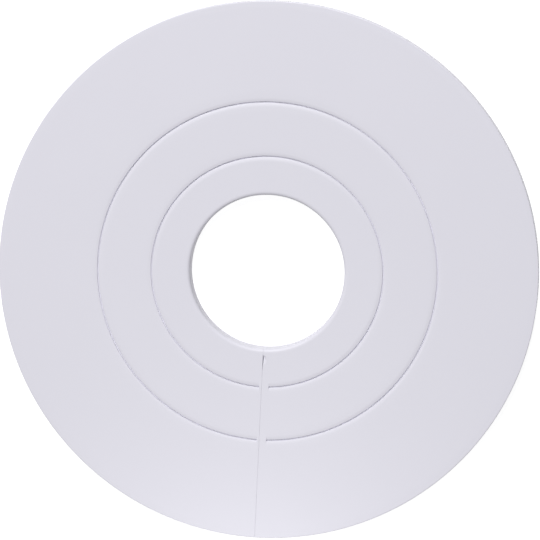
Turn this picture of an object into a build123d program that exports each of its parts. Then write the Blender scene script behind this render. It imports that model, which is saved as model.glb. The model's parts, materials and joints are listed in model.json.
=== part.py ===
# Drain pipe escutcheon: a round cover plate that hides the gap where a waste pipe leaves a wall or floor.
# One moulding of soft plastic with a hole for the smallest pipe, two rings to cut along for
# larger pipes, and a slit that lets the plate go round a pipe that is already in place.
# Millimetres. The origin is on the hole's axis at the back face, +Z looks out of the show face,
# and the slit runs from the hole to the rim along -Y.

from build123d import *
import math
import os

# Drain pipes that the plate fits, by outside diameter
small_pipe_diameter = 50.0
medium_pipe_diameter = 75.0
large_pipe_diameter = 110.0
# Room left round a pipe, measured on the radius
pipe_clearance = 0.05

# Plate
plate_diameter = 175.0
plate_thickness = 6.0
bore_edge_radius = 1.5
rim_edge_chamfer = 0.3

# Cut rings: a narrow square groove that guides the knife, between soft shoulders that roll down to it
ring_width = 0.4
ring_depth = 0.65
ring_shoulder_radius = 5.0
# Slope of a shoulder where it leaves the face and where it meets the groove
ring_shoulder_start = 3.0
ring_shoulder_end = 17.0
# Uncut land between a ring's two ends and the slit, on the slit's left and on its right
ring_land_left = 0.8
ring_land_right = 2.3

# Slit
slit_gap = 0.05
slit_edge_radius = 0.12

# Dip in the right-hand flap, beside the slit at the hole, where the blade pressed the face down
# A cone that leans away from the hole, so that it is steep near the hole and runs out gently
dip_depth = 0.55
dip_half_angle = 61.5
dip_lean = 16.5
dip_offset = 1.1

# How far a cutting shape stands out of what it cuts
cut_overrun = 2.0

bore_radius = small_pipe_diameter / 2 + pipe_clearance
plate_radius = plate_diameter / 2
show_face = plate_thickness
ring_radii = [
    medium_pipe_diameter / 2 + pipe_clearance,
    large_pipe_diameter / 2 + pipe_clearance,
]


def make_disc():
    """Flat ring with a rounded face edge at the hole and a narrow chamfer at the rim."""
    disc = Cylinder(plate_radius, plate_thickness, align=(Align.CENTER, Align.CENTER, Align.MIN))
    disc -= Cylinder(bore_radius, plate_thickness, align=(Align.CENTER, Align.CENTER, Align.MIN))
    face_edges = disc.edges().filter_by(GeomType.CIRCLE).group_by(Axis.Z)[-1].sort_by(SortBy.RADIUS)
    disc = fillet(face_edges[0], bore_edge_radius)
    face_edges = disc.edges().filter_by(GeomType.CIRCLE).group_by(Axis.Z)[-1].sort_by(SortBy.RADIUS)
    return chamfer(face_edges[-1], rim_edge_chamfer)


def groove_half():
    """Half of a ring's section from its middle line outwards, carried up past the face."""
    start = math.radians(ring_shoulder_start)
    end = math.radians(ring_shoulder_end)
    wall = ring_width / 2
    reach = wall + ring_shoulder_radius * (math.sin(end) - math.sin(start))
    drop = ring_shoulder_radius * (math.cos(start) - math.cos(end))
    shoulder = CenterArc(
        (wall + ring_shoulder_radius * math.sin(end), -ring_shoulder_radius * math.cos(start)),
        ring_shoulder_radius,
        90 + ring_shoulder_start,
        ring_shoulder_end - ring_shoulder_start,
    )
    rest = Polyline(
        (wall, -drop),
        (wall, -ring_depth),
        (0, -ring_depth),
        (0, cut_overrun),
        (reach, cut_overrun),
        (reach, 0),
    )
    return Plane.XZ * make_face([shoulder, rest])


def make_groove(ring_radius):
    """Groove along a ring with its shoulders, stopping short of the slit on both sides."""
    start = -90 + math.degrees(math.asin(ring_land_right / ring_radius))
    stop = 270 - math.degrees(math.asin(ring_land_left / ring_radius))
    section = groove_half() + mirror(groove_half(), Plane.YZ)
    run = revolve(Pos(ring_radius, 0, show_face) * section, Axis.Z, stop - start)
    return Rot(0, 0, start) * run


def make_slit():
    """Thin cut through the whole thickness, from the hole's axis out past the rim."""
    return Pos(0, 0, -cut_overrun) * Box(
        slit_gap,
        plate_radius + cut_overrun,
        plate_thickness + 2 * cut_overrun,
        align=(Align.CENTER, Align.MAX, Align.MIN),
    )


def round_slit(plate):
    """Soften the two edges of the slit along the show face and over the edges at the hole and the rim."""
    def beside_slit(edge):
        middle = edge.position_at(0.5)
        on_wall = abs(abs(middle.X) - slit_gap / 2) < slit_gap / 10
        return on_wall and middle.Y < 0 and middle.Z > 0 and edge.length > slit_edge_radius

    return fillet(plate.edges().filter_by(beside_slit), slit_edge_radius)


def make_dip():
    """Half of a shallow leaning cone, on the right of the slit just outside the hole's rounded edge."""
    distance = bore_radius + bore_edge_radius + dip_offset
    height = dip_depth + cut_overrun
    spread = height * math.tan(math.radians(dip_half_angle))
    cone = Cone(0, spread, height, align=(Align.CENTER, Align.CENTER, Align.MIN))
    cone = Pos(0, -distance, show_face - dip_depth) * Rot(dip_lean, 0, 0) * cone
    return split(cone, Plane.YZ)


plate = make_disc()
for ring_radius in ring_radii:
    plate -= make_groove(ring_radius)
plate -= make_slit()
plate = round_slit(plate)
plate -= make_dip()

os.makedirs("parts", exist_ok=True)
export_step(plate, "parts/escutcheon_plate.step")
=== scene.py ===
import json
import math

import bmesh
import bpy
from mathutils import Matrix, Vector


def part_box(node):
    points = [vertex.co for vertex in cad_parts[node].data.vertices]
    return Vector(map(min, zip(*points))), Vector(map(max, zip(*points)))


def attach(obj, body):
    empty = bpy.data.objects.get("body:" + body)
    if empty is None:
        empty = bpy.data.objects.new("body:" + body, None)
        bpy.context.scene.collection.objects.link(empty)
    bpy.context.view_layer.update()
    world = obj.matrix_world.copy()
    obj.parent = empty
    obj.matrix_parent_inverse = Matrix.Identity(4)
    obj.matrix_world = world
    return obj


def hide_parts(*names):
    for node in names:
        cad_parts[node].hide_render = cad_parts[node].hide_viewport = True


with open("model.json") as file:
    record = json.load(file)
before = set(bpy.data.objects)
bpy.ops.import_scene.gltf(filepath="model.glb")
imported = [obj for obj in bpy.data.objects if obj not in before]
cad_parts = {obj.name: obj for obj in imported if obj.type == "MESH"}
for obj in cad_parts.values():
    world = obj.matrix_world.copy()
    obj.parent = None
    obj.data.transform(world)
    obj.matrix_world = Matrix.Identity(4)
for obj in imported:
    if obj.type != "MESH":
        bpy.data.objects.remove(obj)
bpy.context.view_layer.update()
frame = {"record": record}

# The plate: one moulding of soft white plastic, with a rounded edge at the hole and a fine break at
# the rim. Two rings in its face guide the knife for thicker pipes. One cut from the hole to the rim
# lets it open round a pipe that is already fixed.
MM = 0.001
# Slack for picking points by their place
hair = 0.001 * MM
plate_low, plate_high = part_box("escutcheon_plate")
rim_radius = min(*plate_high.xy, *(-plate_low).xy)
thickness = plate_high.z
pipe_bore = next(mount for mount in frame["record"]["mounts"] if mount["name"] == "pipe_bore")
hole_radius = pipe_bore["dims"]["r_mm"] * MM
hole_rounding = 1.5 * MM
rim_rounding = 0.3 * MM
rounding_segments = 10
# Fullness of a rounded edge: 0.5 is a plain arc, and more stands out further
hole_fullness = 0.6
rim_fullness = 0.5

ring_radii = (37.55 * MM, 55.05 * MM)
ring_depth = 0.65 * MM
ring_half_width = 0.2 * MM
ring_draft = 0.03 * MM
shoulder_radius = 5.0 * MM
shoulder_start = math.radians(3)
shoulder_end = math.radians(17)
shoulder_width = shoulder_radius * (math.sin(shoulder_end) - math.sin(shoulder_start))
ring_half_mouth = ring_half_width + shoulder_width
ring_land_left = 0.8 * MM
ring_land_right = 2.3 * MM

slit_gap = 0.02 * MM
slit_rounding = 0.06 * MM
slit_segments = 4
# How squarely a face has to look across the slit to count as its wall
wall_facing = 0.99

# The blade pressed a dip into the right flap where the cut meets the hole, and the cut gapes there
dip_depth = 0.55 * MM
dip_half_angle = math.radians(61.5)
dip_lean = math.radians(16.5)
dip_offset = 1.1 * MM
dip_distance = hole_radius + hole_rounding + dip_offset
nick_width = 0.3 * MM
nick_length = 4.4 * MM
nick_spread = 1.0 * MM
# Share of the nick's length in which it opens, before it narrows again
nick_rise = 0.1

# Extra points across a ring's shoulder and floor, and across the plain face inside the first ring,
# between the rings and outside the second
shoulder_cuts = 9
floor_cuts = 1
plain_cuts = (59, 7, 11)
# Degrees and steps of the way round, finest on both sides of the slit
slit_sweeps = ((0.4, 1), (6.6, 66))
far_sweep = (346, 230)
smooth_angle = math.radians(25)


def pick(piece, kind, wanted):
    """Select the vertices, edges or faces of the piece, in edit mode, that the test holds for."""
    bpy.ops.mesh.select_mode(type=kind)
    bpy.ops.mesh.select_all(action="DESELECT")
    mesh = bmesh.from_edit_mesh(piece.data)
    for item in {"VERT": mesh.verts, "EDGE": mesh.edges, "FACE": mesh.faces}[kind]:
        if wanted(item):
            item.select_set(True)
    mesh.select_flush_mode()
    bmesh.update_edit_mesh(piece.data)


def middle(item):
    """Middle point of an edge or a face."""
    return sum((vert.co for vert in item.verts), Vector()) / len(item.verts)


# The section is a slice that stands along the slit, from the hole to the rim
bpy.ops.object.select_all(action="DESELECT")
bpy.ops.mesh.primitive_plane_add(size=1)
plate = bpy.context.active_object
plate.name = "plate"
plate.scale = (rim_radius - hole_radius, thickness, 1)
plate.rotation_euler = (math.pi / 2, 0, math.pi / 2)
plate.location = (0, -(rim_radius + hole_radius) / 2, thickness / 2)
bpy.ops.object.transform_apply(location=True, rotation=True, scale=True)
bpy.ops.object.mode_set(mode="EDIT")
for corner, rounding, fullness in (
    (hole_radius, hole_rounding, hole_fullness),
    (rim_radius, rim_rounding, rim_fullness),
):
    pick(
        plate,
        "VERT",
        lambda vert: vert.co.z > thickness - hair and abs(-vert.co.y - corner) < hair,
    )
    bpy.ops.mesh.bevel(
        offset=rounding,
        segments=rounding_segments,
        profile=fullness,
        affect="VERTICES",
        clamp_overlap=False,
    )

# Rows of points on the shoulders, walls and floor of each ring, and on the plain face between them
ring_floor = ring_half_width - ring_draft
ring_rows = (
    (-ring_half_mouth, -ring_half_width, shoulder_cuts),
    (-ring_half_width, -ring_floor, 0),
    (-ring_floor, ring_floor, floor_cuts),
    (ring_floor, ring_half_width, 0),
    (ring_half_width, ring_half_mouth, shoulder_cuts),
)
stretches = []
reached = hole_radius + hole_rounding
for ring_radius, inside_cuts in zip(ring_radii, plain_cuts):
    stretches.append((reached, ring_radius - ring_half_mouth, inside_cuts))
    for inner, outer, cuts in ring_rows:
        stretches.append((ring_radius + inner, ring_radius + outer, cuts))
    reached = ring_radius + ring_half_mouth
stretches.append((reached, rim_radius - rim_rounding, plain_cuts[-1]))
for inner, _, _ in stretches[1:]:
    pick(plate, "FACE", lambda face: True)
    bpy.ops.mesh.bisect(plane_co=(0, -inner, 0), plane_no=(0, 1, 0))
for inner, outer, cuts in stretches:
    pick(
        plate,
        "EDGE",
        lambda edge: middle(edge).z > thickness - hair and inner < -middle(edge).y < outer,
    )
    if cuts:
        bpy.ops.mesh.subdivide(number_cuts=cuts)

# The slice goes once round the hole's axis, in narrow steps on both sides of the slit
pick(plate, "FACE", lambda face: True)
for sweep, steps in (*slit_sweeps, far_sweep, *reversed(slit_sweeps)):
    bpy.ops.mesh.spin(steps=steps, angle=math.radians(sweep), center=(0, 0, 0), axis=(0, 0, -1))
bpy.ops.mesh.select_all(action="SELECT")
bpy.ops.mesh.normals_make_consistent(inside=False)


def slit_wall(face, side):
    """True for the wall of the slit on the right flap (side 1) or on the left one (side -1)."""
    at_slit = abs(middle(face).x) < slit_gap and middle(face).y < 0
    return face.normal.x * side < -wall_facing and at_slit


def slit_corner(edge):
    """True for the edges round a slit wall, but for those on the back and inside the wall."""
    walls = [slit_wall(face, side) for face in edge.link_faces for side in (1, -1)]
    return sum(walls) == 1 and middle(edge).z > hair


for side in (1, -1):
    pick(plate, "FACE", lambda face: slit_wall(face, side))
    bpy.ops.transform.translate(value=(side * slit_gap / 2, 0, 0))
pick(plate, "EDGE", slit_corner)
bpy.ops.mesh.bevel(
    offset=slit_rounding, segments=slit_segments, affect="EDGES", clamp_overlap=False
)
bpy.ops.object.mode_set(mode="OBJECT")


def press(name, distance, share_at, direction):
    """Move the plate's points along an axis, by the share of the distance that holds at each."""
    group = plate.vertex_groups.new(name=name)
    for vert in plate.data.vertices:
        share = share_at(vert.co)
        if share > 0:
            group.add([vert.index], share, "REPLACE")
    bpy.ops.object.modifier_add(type="DISPLACE")
    modifier = plate.modifiers[-1]
    modifier.vertex_group = name
    modifier.direction = direction
    modifier.mid_level = 0
    modifier.strength = distance
    bpy.ops.object.modifier_apply(modifier=modifier.name)
    plate.vertex_groups.remove(plate.vertex_groups[name])


def groove_share(distance):
    """Depth of a ring, as a share of its full depth, at a distance from its middle line."""
    if distance >= ring_half_mouth:
        return 0
    outside = max(distance, ring_half_width)
    across = shoulder_radius * math.sin(shoulder_end) + ring_half_width - outside
    arc = math.sqrt(shoulder_radius**2 - across**2)
    drop = shoulder_radius * math.cos(shoulder_start) - arc
    wall = min(1, max(0, (ring_half_width - distance) / ring_draft))
    return (drop + (ring_depth - drop) * wall) / ring_depth


def groove_at(point, ring_radius):
    """Share of a ring's depth at a point, with nothing on the land beside the slit."""
    land = ring_land_right if point.x > 0 else ring_land_left
    if point.z < thickness - hair or (point.y < 0 and abs(point.x) < land):
        return 0
    return groove_share(abs(point.xy.length - ring_radius))


def dip_at(point):
    """Share of the dip's depth at a point: half a cone that leans away from the hole."""
    if point.x < 0 or point.z < thickness - 2 * slit_rounding:
        return 0
    outward = -point.y - dip_distance
    spread = math.cos(dip_half_angle) ** 2
    steep = math.cos(dip_lean) ** 2 - spread
    lean = outward * math.sin(dip_lean) * math.cos(dip_lean)
    level = (outward * math.sin(dip_lean)) ** 2 - spread * (outward**2 + point.x**2)
    height = (math.sqrt(lean**2 - steep * level) - lean) / steep
    return 1 - height / dip_depth


def nick_at(point):
    """Share of the nick's width at a point: a slim triangle beside the slit, widest at the hole."""
    along = (-point.y - dip_distance) / nick_length
    if point.x < 0 or not 0 < along < 1:
        return 0
    return min(along / nick_rise, 1 - along) * max(0, 1 - point.x / nick_spread)


for number, ring_radius in enumerate(ring_radii):
    press("ring_%d" % number, -ring_depth, lambda point: groove_at(point, ring_radius), "Z")
press("dip", -dip_depth, dip_at, "Z")
press("nick", nick_width, nick_at, "X")
bpy.ops.object.shade_smooth_by_angle(angle=smooth_angle)


class Finish:
    """One socket of a shader: sums add Math nodes, and one method adds any other node."""

    def __init__(self, tree, socket=None):
        self.tree = tree
        self.socket = socket

    def node(self, kind, settings, inputs, output=0):
        made = self.tree.nodes.new(kind)
        for name, value in settings.items():
            setattr(made, name, value)
        for name, value in inputs.items():
            if isinstance(value, Finish):
                self.tree.links.new(value.socket, made.inputs[name])
            else:
                made.inputs[name].default_value = value
        return Finish(self.tree, made.outputs[output] if made.outputs else None)

    def math(self, operation, first, second):
        return self.node("ShaderNodeMath", {"operation": operation}, {0: first, 1: second})

    def __add__(self, other):
        return self.math("ADD", self, other)

    def __mul__(self, other):
        return self.math("MULTIPLY", self, other)

    __radd__ = __add__
    __rmul__ = __mul__


# Satin white plastic: faint cloudy tone, a little uneven gloss, and the fine grain of the mould
white_low = (0.724, 0.714, 0.785, 1)
white_high = (0.736, 0.726, 0.796, 1)
satin_roughness = 0.38
handled_roughness = 0.12
sheen_level = 0.35
grain_strength = 0.08
grain_height = 0.05 * MM
plastic = bpy.data.materials.new("soft_white_plastic")
plastic.use_nodes = True
plastic.node_tree.nodes.clear()
plastic_nodes = Finish(plastic.node_tree)
plastic_place = plastic_nodes.node("ShaderNodeTexCoord", {}, {}, output="Object")


def plastic_noise(scale, detail, roughness):
    """Soft uneven patches all over the plate, from 0 to 1."""
    return plastic_nodes.node(
        "ShaderNodeTexNoise",
        {},
        {"Vector": plastic_place, "Scale": scale, "Detail": detail, "Roughness": roughness},
        output="Fac",
    )


clouds = plastic_noise(scale=45.0, detail=3.0, roughness=0.5)
handling = plastic_noise(scale=160.0, detail=4.0, roughness=0.6)
grain = plastic_noise(scale=2600.0, detail=2.0, roughness=0.5)
colour = plastic_nodes.node(
    "ShaderNodeMix", {"data_type": "RGBA"}, {0: clouds, 6: white_low, 7: white_high}, output=2
)
relief = plastic_nodes.node(
    "ShaderNodeBump", {}, {"Strength": grain_strength, "Distance": grain_height, "Height": grain}
)
skin = plastic_nodes.node(
    "ShaderNodeBsdfPrincipled",
    {},
    {
        "Base Color": colour,
        "Roughness": satin_roughness + handling * handled_roughness,
        "Normal": relief,
        "Specular IOR Level": sheen_level,
    },
)
plastic_nodes.node("ShaderNodeOutputMaterial", {}, {"Surface": skin})
plate.data.materials.append(plastic)
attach(plate, "root")
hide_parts("escutcheon_plate")

# The floor: a wide flat sheet that the plate lies on. It shows as plain white to the camera, and its
# own light grey keeps the plate's soft shadow and throws less light back.
floor_size = 6.0
floor_grey = (0.5, 0.5, 0.5, 1)
floor_glow = 0.83
plain_white = (1, 1, 1, 1)
bpy.ops.object.select_all(action="DESELECT")
bpy.ops.mesh.primitive_plane_add(size=floor_size)
floor = bpy.context.active_object
floor.name = "floor"
bpy.ops.object.transform_apply(location=True, rotation=True, scale=True)
floor_white = bpy.data.materials.new("floor_white")
floor_white.use_nodes = True
floor_white.node_tree.nodes.clear()
floor_nodes = Finish(floor_white.node_tree)


def plain_view(nodes):
    """1 for rays from the camera, off a gloss or through a clear piece, and 0 for all others."""
    camera_ray = nodes.node("ShaderNodeLightPath", {}, {}, output="Is Camera Ray")
    glossy_ray = nodes.node("ShaderNodeLightPath", {}, {}, output="Is Glossy Ray")
    clear_ray = nodes.node("ShaderNodeLightPath", {}, {}, output="Is Transmission Ray")
    return camera_ray + glossy_ray + clear_ray


matt = floor_nodes.node("ShaderNodeBsdfDiffuse", {}, {"Color": floor_grey})
glow = floor_nodes.node(
    "ShaderNodeEmission",
    {},
    {"Color": plain_white, "Strength": plain_view(floor_nodes) * floor_glow},
)
both = floor_nodes.node("ShaderNodeAddShader", {}, {0: matt, 1: glow})
floor_nodes.node("ShaderNodeOutputMaterial", {}, {"Surface": both})
floor.data.materials.append(floor_white)

# The light: an even white room, a wide soft lamp beyond the top of the picture, and a low white panel
# near the bottom edge that lifts the shade there. The panel doesn't show in the plate's sheen, so the
# far edge stays clear in low views from behind.
room_level = 0.295
room_world = bpy.data.worlds.new("studio")
bpy.context.scene.world = room_world
room_world.use_nodes = True
room_world.node_tree.nodes.clear()
room_nodes = Finish(room_world.node_tree)
room_strength = plain_view(room_nodes) * (1 - room_level) + room_level
room = room_nodes.node(
    "ShaderNodeBackground", {}, {"Color": plain_white, "Strength": room_strength}
)
room_nodes.node("ShaderNodeOutputWorld", {}, {"Surface": room})


def lamp(name, place, size, power):
    """Soft square lamp that points at the plate and that the camera doesn't see."""
    bpy.ops.object.light_add(type="AREA", location=place)
    light = bpy.context.active_object
    light.name = name
    light.rotation_euler = Vector(place).to_track_quat("Z", "Y").to_euler()
    light.data.size = size
    light.data.energy = power
    light.visible_camera = False
    return light


key_azimuth = math.radians(107)
key_height = math.radians(48)
key_distance = 2.5
key_place = (
    key_distance * math.cos(key_height) * math.cos(key_azimuth),
    key_distance * math.cos(key_height) * math.sin(key_azimuth),
    key_distance * math.sin(key_height),
)
panel_place = (0, -0.144, 0.052)
lamp("key", key_place, size=1.4, power=57.5)
panel = lamp("low_panel", panel_place, size=0.07, power=0.0275)
panel.visible_glossy = False

# The camera: a long lens about 1.1 m away that looks down on the show face from a little above and
# to the right, with a slight roll that sets the slit off the upright.
camera_tilt = math.radians(9.8)
camera_azimuth = math.radians(56.5)
camera_up = math.radians(92.6)
camera_distance = 1.110
camera_aim = Vector((0.45, 0.0, 0)) * MM
lens_length = 228.15
sensor_width = 36
away = Vector(
    (
        math.sin(camera_tilt) * math.cos(camera_azimuth),
        math.sin(camera_tilt) * math.sin(camera_azimuth),
        math.cos(camera_tilt),
    )
)
right = Vector((math.cos(camera_up), math.sin(camera_up), 0)).cross(away).normalized()
turn = Matrix((right, away.cross(right), away)).transposed().to_4x4()
bpy.ops.object.camera_add()
camera = bpy.context.active_object
camera.matrix_world = Matrix.Translation(camera_aim + camera_distance * away) @ turn
camera.data.lens = lens_length
camera.data.sensor_width = sensor_width
bpy.context.scene.camera = camera
bpy.context.scene.view_settings.view_transform = "Standard"
